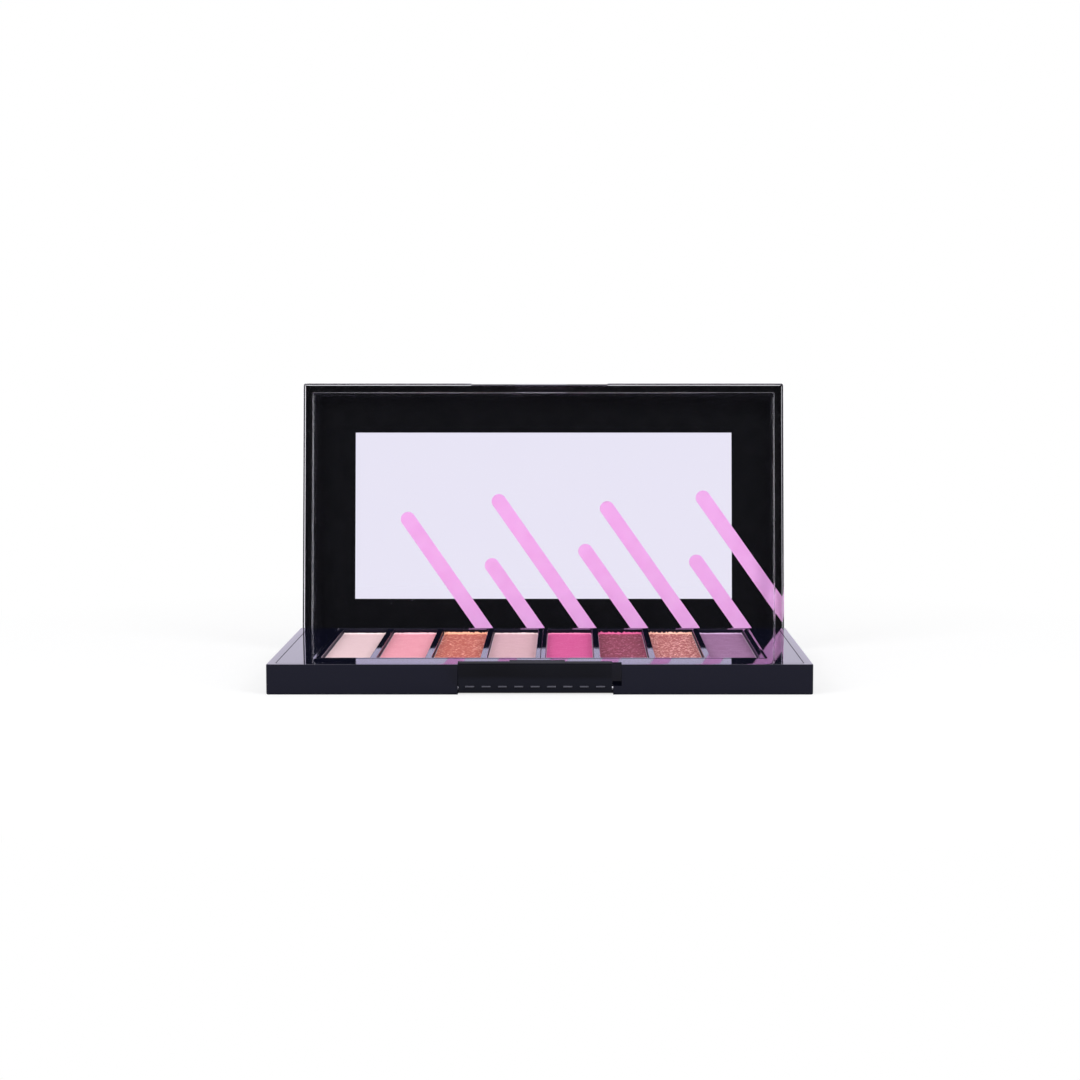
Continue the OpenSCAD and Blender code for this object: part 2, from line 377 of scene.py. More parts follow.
def mesh_object(name, bm):
    """Object from a mesh in millimetres, with its faces turned outwards."""
    bmesh.ops.recalc_face_normals(bm, faces=bm.faces)
    mesh = bpy.data.meshes.new(name)
    bm.to_mesh(mesh)
    bm.free()
    obj = bpy.data.objects.new(name, mesh)
    bpy.context.scene.collection.objects.link(obj)
    return obj


def keep_result(obj):
    """Replaces the object's mesh by what its modifiers make of it."""
    graph = bpy.context.evaluated_depsgraph_get()
    mesh = bpy.data.meshes.new_from_object(obj.evaluated_get(graph))
    obj.modifiers.clear()
    old = obj.data
    obj.data = mesh
    bpy.data.meshes.remove(old)


def combine(obj, draw, operation):
    """Adds the shapes that draw(bm) makes to the object, or cuts them out of it."""
    bm = bmesh.new()
    draw(bm)
    tool = mesh_object("tool", bm)
    step = obj.modifiers.new("combine", "BOOLEAN")
    step.operation = operation
    step.solver = "EXACT"
    step.use_self = True
    step.object = tool
    keep_result(obj)
    bpy.data.objects.remove(tool)


def finish_piece(obj, body, material, replaced, smooth=35.0):
    """Turns a piece into metres and hands it to its body; edges past smooth degrees stay sharp."""
    obj.data.transform(Matrix.Scale(MM, 4))
    obj.data.shade_smooth()
    obj.data.set_sharp_from_angle(angle=math.radians(smooth))
    weighted = obj.modifiers.new("normals", "WEIGHTED_NORMAL")
    weighted.keep_sharp = True
    keep_result(obj)
    obj.data.materials.clear()
    obj.data.materials.append(material)
    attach(obj, body)
    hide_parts(*replaced)
    return obj


def turned_about_x(y, z, degrees):
    """Turn about the line along X through (y, z)."""
    place = Matrix.Translation((0, y, z))
    return place @ Matrix.Rotation(math.radians(degrees), 4, "X") @ place.inverted()


# ---------------------------------------------------------------- materials

class Nodes:
    """A node tree with short calls for the nodes used here."""

    def __init__(self, tree, shader, coordinates):
        self.tree = tree
        self.shader = tree.nodes[shader]
        self.place = tree.nodes.new("ShaderNodeTexCoord").outputs[coordinates]

    def link(self, source, target):
        self.tree.links.new(source, target)

    def drive(self, name, value):
        """Links a value to one of the shader's sockets."""
        self.link(value, self.shader.inputs[name])

    def fix(self, name, value):
        """Sets one of the shader's sockets to a value that is the same all over."""
        self.shader.inputs[name].default_value = value

    def along(self, axis):
        """The place's distance along X, Y or Z."""
        node = self.tree.nodes.new("ShaderNodeSeparateXYZ")
        self.link(self.place, node.inputs[0])
        return node.outputs[axis]

    def stretched(self, scale):
        """The place scaled by a different amount along each axis."""
        node = self.tree.nodes.new("ShaderNodeMapping")
        node.inputs["Scale"].default_value = scale
        self.link(self.place, node.inputs["Vector"])
        return node.outputs["Vector"]

    def noise(self, scale, detail, place=None):
        """Soft random value, mostly 0.3 to 0.7, in patches about 1 / scale metres wide."""
        node = self.tree.nodes.new("ShaderNodeTexNoise")
        node.inputs["Scale"].default_value = scale
        node.inputs["Detail"].default_value = detail
        self.link(place or self.place, node.inputs["Vector"])
        return node.outputs["Fac"]

    def cells(self, scale):
        """Distance to the nearest cell centre, and the cell's random colour."""
        node = self.tree.nodes.new("ShaderNodeTexVoronoi")
        node.inputs["Scale"].default_value = scale
        self.link(self.place, node.inputs["Vector"])
        return node.outputs["Distance"], node.outputs["Color"]

    def spread(self, value, span, out, interpolation="LINEAR"):
        """Carries the value from the span's ends to the out pair, and holds it beyond them."""
        node = self.tree.nodes.new("ShaderNodeMapRange")
        node.interpolation_type = interpolation
        node.inputs["From Min"].default_value = span[0]
        node.inputs["From Max"].default_value = span[1]
        node.inputs["To Min"].default_value = out[0]
        node.inputs["To Max"].default_value = out[1]
        self.link(value, node.inputs["Value"])
        return node.outputs["Result"]

    def by_height(self, low, high, out):
        """Goes through the out pair between two heights in the rest pose, in millimetres."""
        return self.spread(self.along("Z"), (low * MM, high * MM), out)

    def arithmetic(self, operation, *values):
        """Result of a Math node on one or more outputs."""
        node = self.tree.nodes.new("ShaderNodeMath")
        node.operation = operation
        for value, socket in zip(values, node.inputs):
            self.link(value, socket)
        return node.outputs[0]

    def mix(self, amount, first, second):
        """Mix of two colours or two numbers; each is an output or a plain value."""
        colours = isinstance(second, tuple) or getattr(second, "type", "") == "RGBA"
        node = self.tree.nodes.new("ShaderNodeMix")
        node.data_type = "RGBA" if colours else "FLOAT"
        self.link(amount, node.inputs["Factor"])
        start = 6 if colours else 2
        for socket, value in zip(node.inputs[start:start + 2], (first, second)):
            if isinstance(value, tuple):
                socket.default_value = (*value, 1.0)
            elif isinstance(value, float):
                socket.default_value = value
            else:
                self.link(value, socket)
        return node.outputs[2 if colours else 0]

    def bump(self, height, strength, distance):
        """Fine relief on the whole material, at most distance metres deep."""
        node = self.tree.nodes.new("ShaderNodeBump")
        node.inputs["Strength"].default_value = strength
        node.inputs["Distance"].default_value = distance
        self.link(height, node.inputs["Height"])
        self.drive("Normal", node.outputs["Normal"])

    def dust(self, scale, size, share):
        """Mask of small specks in a share of the cells: 1 on a speck, 0 elsewhere."""
        distance, colour = self.cells(scale)
        near = self.spread(distance, (size, size * 1.3), ONE_TO_ZERO)
        chosen = self.spread(colour, (1.0 - share, 1.0 - share + 0.02), ZERO_TO_ONE)
        return self.arithmetic("MULTIPLY", near, chosen)

    def sight(self):
        """Masks of how a ray came here: directly or through clear parts, and by a reflection."""
        path = self.tree.nodes.new("ShaderNodeLightPath")
        mirrors = path.outputs["Glossy Depth"]
        bounces = self.arithmetic("ADD", mirrors, path.outputs["Diffuse Depth"])
        direct = self.spread(bounces, ZERO_TO_ONE, ONE_TO_ZERO)
        mirrored = self.spread(mirrors, ZERO_TO_ONE, ZERO_TO_ONE)
        return direct, mirrored


def new_material(name):
    """Material with one Principled shader, and its nodes."""
    material = bpy.data.materials.new(name)
    material.use_nodes = True
    return material, Nodes(material.node_tree, "Principled BSDF", "Object")


def darker(colour, share):
    """The colour with only a share of its light."""
    return tuple(c * share for c in colour)


def paler(colour, share):
    """The colour taken a share of the way to white."""
    return tuple(c + (1.0 - c) * share for c in colour)


def moulded_plastic(name, colours, roughness=(0.015, 0.06), ior=1.45, painted_reflection_below=None,
                    matt_below=None):
    """Glossy moulded plastic with faint flow marks, hairlines and specks, in a fresh and a worn colour.

    Below one height it can take the worn colour wholly, which on the latch is a painted reflection, or be
    matt below another.
    """
    material, n = new_material(name)
    wear_and_painted_reflection = n.spread(n.noise(scale=60.0, detail=2.0), (0.3, 0.7), (0.0, 0.35))
    # painted reflection: below the given height the colour turns wholly to the lighter worn tone
    if painted_reflection_below is not None:
        painted_reflection_low = n.by_height(painted_reflection_below - PAINTED_REFLECTION_BLUR, painted_reflection_below + PAINTED_REFLECTION_BLUR, ONE_TO_ZERO)
        wear_and_painted_reflection = n.arithmetic("MAXIMUM", wear_and_painted_reflection, painted_reflection_low)
    specks = n.dust(scale=420.0, size=0.045, share=0.22)
    body = n.mix(wear_and_painted_reflection, *colours)
    n.drive("Base Color", n.mix(n.spread(specks, ZERO_TO_ONE, (0.0, 0.7)), body, SPECK_ON_PLASTIC))
    hairlines = n.noise(scale=1.0, detail=4.0, place=n.stretched((90.0, 2600.0, 900.0)))
    finish = n.spread(hairlines, (0.35, 0.75), roughness)
    if matt_below is not None:
        matt = n.by_height(matt_below - MATT_BLUR, matt_below, (MATT, 0.0))
        finish = n.arithmetic("MAXIMUM", finish, matt)
    n.drive("Roughness", finish)
    n.bump(n.noise(scale=900.0, detail=2.0), strength=0.012, distance=0.0004)
    n.fix("IOR", ior)
    return material


def lid_wall_mask(n):
    """1 in the open lid's thick walls, 0 in the thin plate between them."""
    inner_x = WIDTH / 2 - LID_WALL
    inner_z = OPEN_LID_TOP_Z - LID_WALL
    off_centre = n.arithmetic("ABSOLUTE", n.along("X"))
    side_walls = n.spread(off_centre, ((inner_x - LID_MASK_BLUR) * MM, inner_x * MM), ZERO_TO_ONE)
    latch_wall = n.by_height(inner_z - LID_MASK_BLUR, inner_z, ZERO_TO_ONE)
    hinge_wall = n.by_height(OPEN_LID_FOOT_Z, OPEN_LID_FOOT_Z + LID_MASK_BLUR, ONE_TO_ZERO)
    return n.arithmetic("MAXIMUM", side_walls, n.arithmetic("MAXIMUM", latch_wall, hinge_wall))


def clear_plastic(name):
    """Clear glossy plastic: thick walls bend light, and a tinted plate lets most of it straight through."""
    material, n = new_material(name)
    haze = n.noise(scale=90.0, detail=3.0)
    wall = lid_wall_mask(n)
    n.drive("Base Color", n.mix(wall, n.mix(haze, *LID_PLATE_TINTS), LID_WALL_TINT))
    n.drive("Alpha", n.spread(wall, ZERO_TO_ONE, (LID_PLATE_ALPHA, 1.0)))
    n.drive("Roughness", n.spread(haze, (0.4, 0.8), (0.0, 0.012)))
    n.fix("Transmission Weight", 1.0)
    n.fix("IOR", 1.49)
    return material


def printed_film(name, colours):
    """Printed layer: a full and a thin tone with the slight mottle of ink, under gloss."""
    material, n = new_material(name)
    ink = n.mix(n.spread(n.noise(scale=260.0, detail=4.0), (0.35, 0.7), ZERO_TO_ONE), *colours)
    specks = n.dust(scale=330.0, size=0.032, share=0.16)
    n.drive("Base Color", n.mix(n.spread(specks, ZERO_TO_ONE, (0.0, 0.5)), ink, SPECK_ON_INK))
    n.drive("Roughness", n.spread(n.noise(scale=1400.0, detail=2.0), (0.3, 0.7), (0.10, 0.18)))
    n.fix("IOR", 1.45)
    return material


def bare_metal(name, colour, roughness, grain, bare=1.0):
    """Drawn metal with fine lines along one way, bare or partly under powder dust."""
    material, n = new_material(name)
    lines = n.noise(scale=1.0, detail=3.0, place=n.stretched(grain))
    n.drive("Base Color", n.mix(lines, darker(colour, 0.82), colour))
    n.drive("Roughness", n.spread(lines, (0.3, 0.7), (roughness - 0.06, roughness + 0.08)))
    n.bump(lines, strength=0.08, distance=0.00005)
    n.fix("Metallic", bare)
    return material


def pressed_powder(name, colour, fleck, shimmer):
    """Pressed powder: soft grain, uneven tone, and bright flecks of pigment.

    The raised lip and crumbs are painted pale, partly as loose pigment and partly as a painted highlight,
    and the trough inside the lip is darkened as painted shade.
    """
    material, n = new_material(name)
    grain = n.noise(scale=4200.0, detail=4.0)
    tone = n.mix(n.spread(grain, (0.32, 0.68), ZERO_TO_ONE), darker(colour, 0.80), paler(colour, 0.10))
    blotch = n.noise(scale=330.0, detail=3.0)
    tone = n.mix(n.spread(blotch, (0.35, 0.75), (0.0, 0.12)), tone, fleck)
    # painted highlight: the raised lip and crumbs take the pale fleck colour, partly as loose pigment
    lip = n.by_height(CAKE_Z + 0.05, CAKE_LIP_Z + 0.05, (0.0, 0.9))
    tone = n.mix(lip, tone, fleck)
    # painted shade: the colour is darkened in the trough below the face
    trough = n.by_height(CAKE_Z - 0.16, CAKE_Z - 0.05, (0.7, 0.0))
    tone = n.mix(trough, tone, darker(colour, 0.45))

    # more shimmer means larger, denser and brighter flecks
    _, random_colour = n.cells(3600.0 - 1800.0 * shimmer)
    share = 0.4 * shimmer
    glint = n.spread(random_colour, (1.0 - share, 1.03 - share), ZERO_TO_ONE)
    glint_colour = n.spread(glint, ZERO_TO_ONE, (0.0, 0.15 + 1.1 * shimmer))
    n.drive("Base Color", n.mix(glint_colour, tone, fleck))
    n.drive("Metallic", n.spread(glint, ZERO_TO_ONE, (0.0, 0.5 * shimmer)))
    n.drive("Roughness", n.spread(glint, ZERO_TO_ONE, (0.85, 0.34)))
    n.bump(grain, strength=0.55, distance=0.00009)
    n.fix("Specular IOR Level", 0.15)
    return material


# ---------------------------------------------------------------- base

def hinge_slots(bm):
    """Openings in the rear wall for the lid's knuckles."""
    for ends in both_sides(KNUCKLE_X - SLOT_GAP, KNUCKLE_X + KNUCKLE_W + SLOT_GAP):
        add_box(bm, ends, (HINGE_Y - KNUCKLE_R - SLOT_FRONT_GAP, REAR_Y + CUT_PAST),
                (SLOT_FLOOR_Z, BASE_H + CUT_PAST))


def hinge_bores(bm):
    """Holes for the hinge pins, in from the base's sides."""
    circle = arc((HINGE_Y, HINGE_Z), HINGE_PIN_R + PIN_FIT, 0.0, 360.0, 32)[:-1]
    for ends in both_sides(BORE_X, WIDTH / 2 + CUT_PAST):
        loft(bm, along_x(circle, ends))


def recess_upper(bm):
    """Recess behind the latch's flap."""
    add_box(bm, (-RECESS_W / 2, RECESS_W / 2), (FRONT_Y - CUT_PAST, RECESS_BACK),
            (RECESS_STRIP_Z, BASE_H + CUT_PAST))


def recess_lower(bm):
    """Room for the latch's barrel, which leaves a strip of the wall standing on the right."""
    add_box(bm, (-RECESS_W / 2, LATCH_X + LATCH_W / 2 + RECESS_SIDE_GAP),
            (FRONT_Y - CUT_PAST, LATCH_Y + RECESS_BARREL_ROOM),
            (-CUT_PAST, RECESS_STRIP_Z + RECESS_OVERLAP))


def recess_backing(bm):
    """Block inside the base that the recess is cut into."""
    half_w = RECESS_W / 2 + BACKING_T
    add_box(bm, (-half_w, half_w), (FRONT_Y + WALL - BACKING_BOND, RECESS_BACK + BACKING_T),
            (FLOOR_T - BACKING_BOND, BEZEL_Z))


def round_rear_rim(obj):
    """Pulls the rear rim in to the circle that the lid's wall rolls over."""
    for v in obj.data.vertices:
        y, z = v.co.y - HINGE_Y, v.co.z - HINGE_Z
        reach = math.hypot(y, z)
        if y > 0 and z > 0 and reach > RIM_SWEEP_R:
            v.co.y = HINGE_Y + y * RIM_SWEEP_R / reach
            v.co.z = HINGE_Z + z * RIM_SWEEP_R / reach


def make_base_shell(material):
    """Tray-shaped outer moulding with a rim, and a ledge that the bezel lies on."""
    ledge_end = WALL + LEDGE
    profile = rounded_path((
        (BOTTOM_FACE_IN, 0.0, 0.0), (0.0, 0.0, BASE_FOOT_R), (0.0, BASE_H, BASE_RIM_R),
        (RIM_LINE_IN, BASE_H, 0.0), (WALL, BASE_H, SEAM_EDGE_R), (WALL, BEZEL_Z, 0.0),
        (ledge_end, BEZEL_Z, LEDGE_R), (ledge_end, FLOOR_T, 0.0), (FLOOR_FACE_IN, FLOOR_T, 0.0)))
    bm = bmesh.new()
    loft(bm, [outline_loop(u, z) for u, z in profile])
    obj = mesh_object("base_shell_moulded", bm)
    round_rear_rim(obj)
    combine(obj, recess_backing, "UNION")
    for cut in (recess_upper, recess_lower, hinge_slots, hinge_bores):
        combine(obj, cut, "DIFFERENCE")
    return finish_piece(obj, "base", material, ["base_shell"])


def front_notch(bm):
    """What the latch's recess takes out of the bezel."""
    add_box(bm, (-RECESS_W / 2, RECESS_W / 2), (FRONT_Y, RECESS_BACK), (0, BASE_H + CUT_PAST))


def make_bezel(material):
    """Flat surround with a bevelled well for the trays."""
    well = rounded_path((
        (0.0, BEZEL_Z, 0.0), (0.0, BASE_H - WELL_BEVEL, BEZEL_EDGE_R),
        (WELL_BEVEL, BASE_H, BEZEL_EDGE_R), (WELL_BEVEL + BEZEL_LINE_IN, BASE_H, 0.0)))
    rim = rounded_path(((BEZEL_LINE_IN, BASE_H, 0.0), (0.0, BASE_H, SEAM_EDGE_R), (0.0, BEZEL_Z, 0.0)))
    loops = [rect_loop(WELL_W + 2 * u, WELL_D + 2 * u, CELL_R + u, z, (0.0, TRAY_Y)) for u, z in well]
    edge = WALL + SEAM
    for u, z in rim:
        loops.append(rect_loop(WIDTH - 2 * (edge + u), DEPTH - 2 * (edge + u), CORNER_R, z))
    bm = bmesh.new()
    loft(bm, loops, cap_first=False, cap_last=False, closed=True)
    obj = mesh_object("bezel_moulded", bm)
    combine(obj, front_notch, "DIFFERENCE")
    return finish_piece(obj, "base", material, ["bezel"])


# ---------------------------------------------------------------- trays, pans and powder

def cell_x(i):
    """Centre of cell i, counted 1 to 8 from the left."""
    side = 1 if i > 4 else -1
    from_seam = i - 5 if i > 4 else 4 - i
    return side * (TRAY_GAP / 2 + TRAY_WALL + CELL_W / 2 + from_seam * (CELL_W + DIVIDER_W))


def cell_loop(i, w, d, r, z):
    """Rounded rectangle about the centre of cell i."""
    return rect_loop(w, d, r, z, (cell_x(i), TRAY_Y))


def make_tray(name, first_cell, material):
    """Tray with four cells whose edges are softly rounded."""
    side = 1 if first_cell > 4 else -1
    centre = (side * (TRAY_GAP + TRAY_W) / 2, TRAY_Y)
    # one end of each path only gives the direction of the top face, so it is left off
    outside = rounded_path((
        (TRAY_FACE_IN, FLOOR_T, 0.0), (0.0, FLOOR_T, TRAY_FOOT_R),
        (0.0, BASE_H, TRAY_EDGE_R), (TRAY_FACE_IN, BASE_H, 0.0)))[:-1]
    inside = rounded_path((
        (-TRAY_FACE_IN, BASE_H, 0.0), (0.0, BASE_H, CELL_EDGE_R), (0.0, CELL_FLOOR_Z, 0.0)))[1:]
    bm = bmesh.new()
    walls = [rect_loop(TRAY_W - 2 * u, TRAY_D - 2 * u, CELL_R, z, centre) for u, z in outside]
    top_edges = ring_edges(bm, loft(bm, walls, cap_last=False)[-1])
    for i in range(first_cell, first_cell + 4):
        cell = [cell_loop(i, CELL_W - 2 * u, CELL_D - 2 * u, CELL_R - u, z) for u, z in inside]
        top_edges += ring_edges(bm, loft(bm, cell, cap_first=False)[0])
    bmesh.ops.triangle_fill(bm, use_beauty=True, use_dissolve=True, edges=top_edges)
    return finish_piece(mesh_object(name + "_moulded", bm), "base", material, [name])


def make_pan(i, material):
    """Pressed metal pan with a rounded rim."""
    w = CELL_W - 2 * PAN_FIT
    d = CELL_D - 2 * PAN_FIT
    inner_z = CELL_FLOOR_Z + PAN_T
    profile = rounded_path((
        (PAN_FACE_IN, CELL_FLOOR_Z, 0.0), (0.0, CELL_FLOOR_Z, PAN_FOOT_R), (0.0, PAN_RIM_Z, PAN_RIM_R),
        (PAN_RIM_T, PAN_RIM_Z, PAN_RIM_R), (PAN_RIM_T, inner_z, 0.0), (PAN_FACE_IN, inner_z, 0.0)))
    bm = bmesh.new()
    loft(bm, [cell_loop(i, w - 2 * u, d - 2 * u, max(CELL_R - u, PAN_CORNER_R), z) for u, z in profile])
    return finish_piece(mesh_object(f"pan_{i}_pressed", bm), "base", material, [f"pan_{i}"])


def powder_lines(length, step, fine_end=0.0):
    """Places of the grid lines across a cake, close together at its edges and along its fine end."""
    half = length / 2
    start = [-half + gap for gap in CAKE_EDGE_LINES]
    end = [half - gap for gap in reversed(CAKE_EDGE_LINES)]
    fine = round(fine_end / CAKE_FINE_STEP)
    end = [end[0] - CAKE_FINE_STEP * k for k in range(fine, 0, -1)] + end
    inner = end[0] - start[-1]
    count = round(inner / step)
    return start + [start[-1] + inner * k / count for k in range(1, count)] + end


def powder_height(x, y, half_w, half_d, crumble, seed):
    """Height of a cake's face at a place in its pan.

    A lip stands against the pan's wall, high and ragged at the rear, with a worn trough inside it
    and crumbs over the rear band. The seed gives each cake its own noise.
    """
    gap = min(half_w - abs(x), half_d - abs(y))
    spot = Vector((x, y, seed * 17.0))
    ragged = 0.5 + 0.5 * noise.noise(spot * 1.7)
    wave = WAVE_H * noise.noise(spot * 0.35) + WAVE_FINE_H * noise.noise(spot * 3.1)
    rear = max(0.0, 1.0 - (half_d - y) / REAR_BAND)

    lip_width = LIP_W + LIP_W_RAGGED * ragged + LIP_W_REAR * rear * ragged
    rear_rise = LIP_REAR_RISE + LIP_REAR_CRUMBLE * crumble * ragged
    lip_height = CAKE_LIP_Z - CAKE_Z + rear * rear_rise
    lip = lip_height * max(0.0, 1.0 - gap / lip_width) ** LIP_CURVE

    rear_depth = TROUGH_REAR_DEPTH + TROUGH_REAR_DEPTH * crumble * ragged
    worn = TROUGH_DEPTH + rear * rear_depth
    trough = -worn * math.exp(-((gap - lip_width - TROUGH_W) / TROUGH_W) ** 2)

    chunks = abs(noise.noise(spot * 2.6)) + 0.6 * abs(noise.noise(spot * 5.2)) - 0.25
    crumbs = max(CRUMB_LOW, min(crumble * rear * CRUMB_H * chunks, CRUMB_HIGH))
    return CAKE_Z + wave + lip + trough + crumbs


def cake_face(bm, i, crumble):
    """Grid of points over a cake's face, in lines from the front to the rear."""
    half_w = CELL_W / 2 - PAN_FIT - PAN_RIM_T - CAKE_FIT
    half_d = CELL_D / 2 - PAN_FIT - PAN_RIM_T - CAKE_FIT
    grid = []
    for y in powder_lines(2 * half_d, CAKE_STEP_Y, CAKE_FINE_REAR):
        line = []
        for x in powder_lines(2 * half_w, CAKE_STEP_X):
            z = powder_height(x, y, half_w, half_d, crumble, i)
            at_corner = abs(x) == half_w and abs(y) == half_d
            pull = 1.0 - CAKE_CORNER / half_w if at_corner else 1.0
            line.append(bm.verts.new((cell_x(i) + x * pull, TRAY_Y + y, z)))
        grid.append(line)
    for low, high in zip(grid, grid[1:]):
        for c in range(len(low) - 1):
            bm.faces.new((low[c], low[c + 1], high[c + 1], high[c]))
    return grid


def make_shade(i, material, crumble):
    """Pressed cake: a fine grid for its face, and plain sides and bottom inside the pan."""
    bm = bmesh.new()
    grid = cake_face(bm, i, crumble)
    right = [line[-1] for line in grid[1:]]
    left = [line[0] for line in grid[-2:0:-1]]
    border = grid[0] + right + grid[-1][-2::-1] + left
    foot = [bm.verts.new((v.co.x, v.co.y, CELL_FLOOR_Z + PAN_T)) for v in border]
    for k, top in enumerate(border):
        n = (k + 1) % len(border)
        bm.faces.new((foot[k], foot[n], border[n], top))
    bm.faces.new(list(reversed(foot)))
    cake = mesh_object(f"shade_{i}_pressed", bm)
    return finish_piece(cake, "base", material, [f"shade_{i}"], smooth=60.0)


# ---------------------------------------------------------------- lid

def lid_knuckles(bm):
    """Barrels round the pins, each with the arm that carries it."""
    barrel = arc((HINGE_Y, HINGE_Z), KNUCKLE_R, BARREL_START, BARREL_SWEEP, 24)
    arm_top = LID_Z + ARM_ROOT
    front = [(HINGE_Y - ARM_FRONT, arm_top)]
    rear = [(HINGE_Y + ARM_REAR, HINGE_Z + ARM_FOOT), (HINGE_Y + ARM_REAR, arm_top)]
    for ends in both_sides(KNUCKLE_X, KNUCKLE_X + KNUCKLE_W):
        loft(bm, along_x(front + barrel + rear, ends))


def latch_pocket(bm):
    """Pocket for the flap's top, bevelled outside, and the slot behind it that leaves the catch bar."""
    low_z = LID_Z - CUT_PAST
    floor_z = LID_Z + POCKET_H
    bevel_z = floor_z + POCKET_BEVEL
    section = ((FRONT_Y - CUT_PAST, low_z), (FRONT_Y + POCKET_D, low_z), (FRONT_Y + POCKET_D, floor_z),
               (FRONT_Y + POCKET_BEVEL, floor_z), (FRONT_Y, bevel_z), (FRONT_Y - CUT_PAST, bevel_z))
    loft(bm, along_x(section, (LATCH_X - POCKET_W / 2, LATCH_X + POCKET_W / 2)))
    slot_z = LID_Z + CATCH_BAR_H
    add_box(bm, (CATCH_X - CATCH_W / 2, CATCH_X + CATCH_W / 2),
            (FRONT_Y, FRONT_Y + LID_WALL + CUT_PAST), (slot_z, slot_z + CATCH_SLOT_H))


def make_lid(material):
    """Clear lid: a thin plate in thick walls, turned open."""
    inner_z = LID_TOP_Z - LID_PLATE_T
    film_z = LID_TOP_Z - FILM_T + FILM_BOND
    profile = rounded_path((
        (LID_FACE_IN, inner_z, 0.0), (LID_WALL, inner_z, LID_CORNER_R),
        (LID_WALL, LID_Z, LID_INNER_EDGE_R), (0.0, LID_Z, LID_OUTER_EDGE_R),
        (0.0, film_z, LID_TOP_EDGE_R), (LID_FACE_IN, film_z, 0.0)))
    bm = bmesh.new()
    loft(bm, [outline_loop(u, z) for u, z in profile])
    obj = mesh_object("lid_shell_moulded", bm)
    combine(obj, lid_knuckles, "UNION")
    combine(obj, latch_pocket, "DIFFERENCE")
    obj.data.transform(turned_about_x(HINGE_Y, HINGE_Z, -LID_OPEN))
    return finish_piece(obj, "lid", material, ["lid_shell"])


# ---------------------------------------------------------------- latch

def flap_outline():
    """Section of the flap about its pivot: barrel below, plate above with rounded top edges."""
    start = math.degrees(math.acos(FLAP_BACK / BARREL_R))
    barrel = arc((0.0, 0.0), BARREL_R, start, -(start + 180.0), 32)
    plate = rounded_path((
        (FLAP_FACE, FLAP_FACE_FOOT, 0.0), (FLAP_FACE, FLAP_TOP, FLAP_TOP_R),
        (FLAP_BACK, FLAP_TOP, FLAP_TOP_BACK_R), (FLAP_BACK, FLAP_BACK_FOOT, 0.0)), steps=6)
    return barrel + plate


def ribs_and_tooth(bm):
    """A rib behind each end of the flap, and the tooth that drops over the catch bar."""
    for x in (LATCH_X - LATCH_W / 2 + RIB_IN, LATCH_X + LATCH_W / 2 - RIB_IN - RIB_W):
        add_box(bm, (x, x + RIB_W), (RIB_FRONT, RIB_BACK), (0.0, RIB_TOP))
    half_w = CATCH_W / 2 - TOOTH_SIDE_GAP
    z = LID_Z + CATCH_BAR_H - LATCH_Z + TOOTH_GAP
    add_box(bm, (CATCH_X - half_w, CATCH_X + half_w), (FLAP_BACK - TOOTH_BOND, TOOTH_BACK),
            (z, z + TOOTH_T))


def flipped_out():
    """From the pivot's own frame to the rest position."""
    return Matrix.Translation((0, LATCH_Y, LATCH_Z)) @ Matrix.Rotation(math.radians(LATCH_OPEN), 4, "X")


def make_latch(material):
    """Flap with rounded ends, end ribs and tooth, flipped out."""
    bm = bmesh.new()
    rings = loft(bm, along_x(flap_outline(), (LATCH_X - LATCH_W / 2, LATCH_X + LATCH_W / 2)))
    ends = ring_edges(bm, rings[0]) + ring_edges(bm, rings[1])
    bmesh.ops.bevel(bm, geom=ends, offset=FLAP_END_R, segments=4, profile=0.5, affect="EDGES",
                    clamp_overlap=True)
    obj = mesh_object("latch_moulded", bm)
    combine(obj, ribs_and_tooth, "UNION")
    obj.data.transform(flipped_out())
    return finish_piece(obj, "latch", material, ["latch"])


def make_grips(material):
    """Row of small raised bars on the flap, coloured pale grey as a painted highlight of their lit tops."""
    profile = rounded_path((
        (0.0, GRIP_BOND, 0.0), (0.0, -GRIP_OUT, GRIP_EDGE_R), (GRIP_EDGE_R, -GRIP_OUT, 0.0)), steps=3)
    middle_z = GRIP_Z + GRIP_H / 2
    bm = bmesh.new()
    for i in range(GRIP_COUNT):
        x = LATCH_X + (i - (GRIP_COUNT - 1) / 2) * GRIP_PITCH
        loops = []
        for u, out in profile:
            loop = rect_loop(GRIP_W - 2 * u, GRIP_H - 2 * u, GRIP_CORNER_R - u * 0.5, out)
            loops.append([(x + px, FLAP_FACE + pz, middle_z + py) for px, py, pz in loop])
        loft(bm, loops)
    obj = mesh_object("latch_grip_bars", bm)
    obj.data.transform(flipped_out())
    return finish_piece(obj, "latch", material, ["latch"])


# ---------------------------------------------------------------- stage, lights, camera

def add_area(name, place, target, size, power, mirrored):
    """Soft lamp; its own image shows in glossy faces only where mirrored is true."""
    lamp = bpy.data.lights.new(name, "AREA")
    lamp.shape = "RECTANGLE"
    lamp.size, lamp.size_y = size
    lamp.energy = power
    obj = bpy.data.objects.new(name, lamp)
    obj.location = place
    obj.rotation_euler = (Vector(target) - Vector(place)).to_track_quat("-Z", "Y").to_euler()
    obj.visible_glossy = mirrored
    bpy.context.scene.collection.objects.link(obj)


def make_lights():
    """A softbox on either side and a fainter one above."""
    x, y, z = SIDE_LAMP_PLACE
    for side, name in ((-1, "left"), (1, "right")):
        add_area(name + "_softbox", (side * x, y, z), SIDE_LAMP_TARGET, SIDE_LAMP_SIZE,
                 SIDE_LAMP_POWER, mirrored=False)
    add_area("top_softbox", TOP_LAMP_PLACE, TOP_LAMP_TARGET, TOP_LAMP_SIZE, TOP_LAMP_POWER,
             mirrored=True)


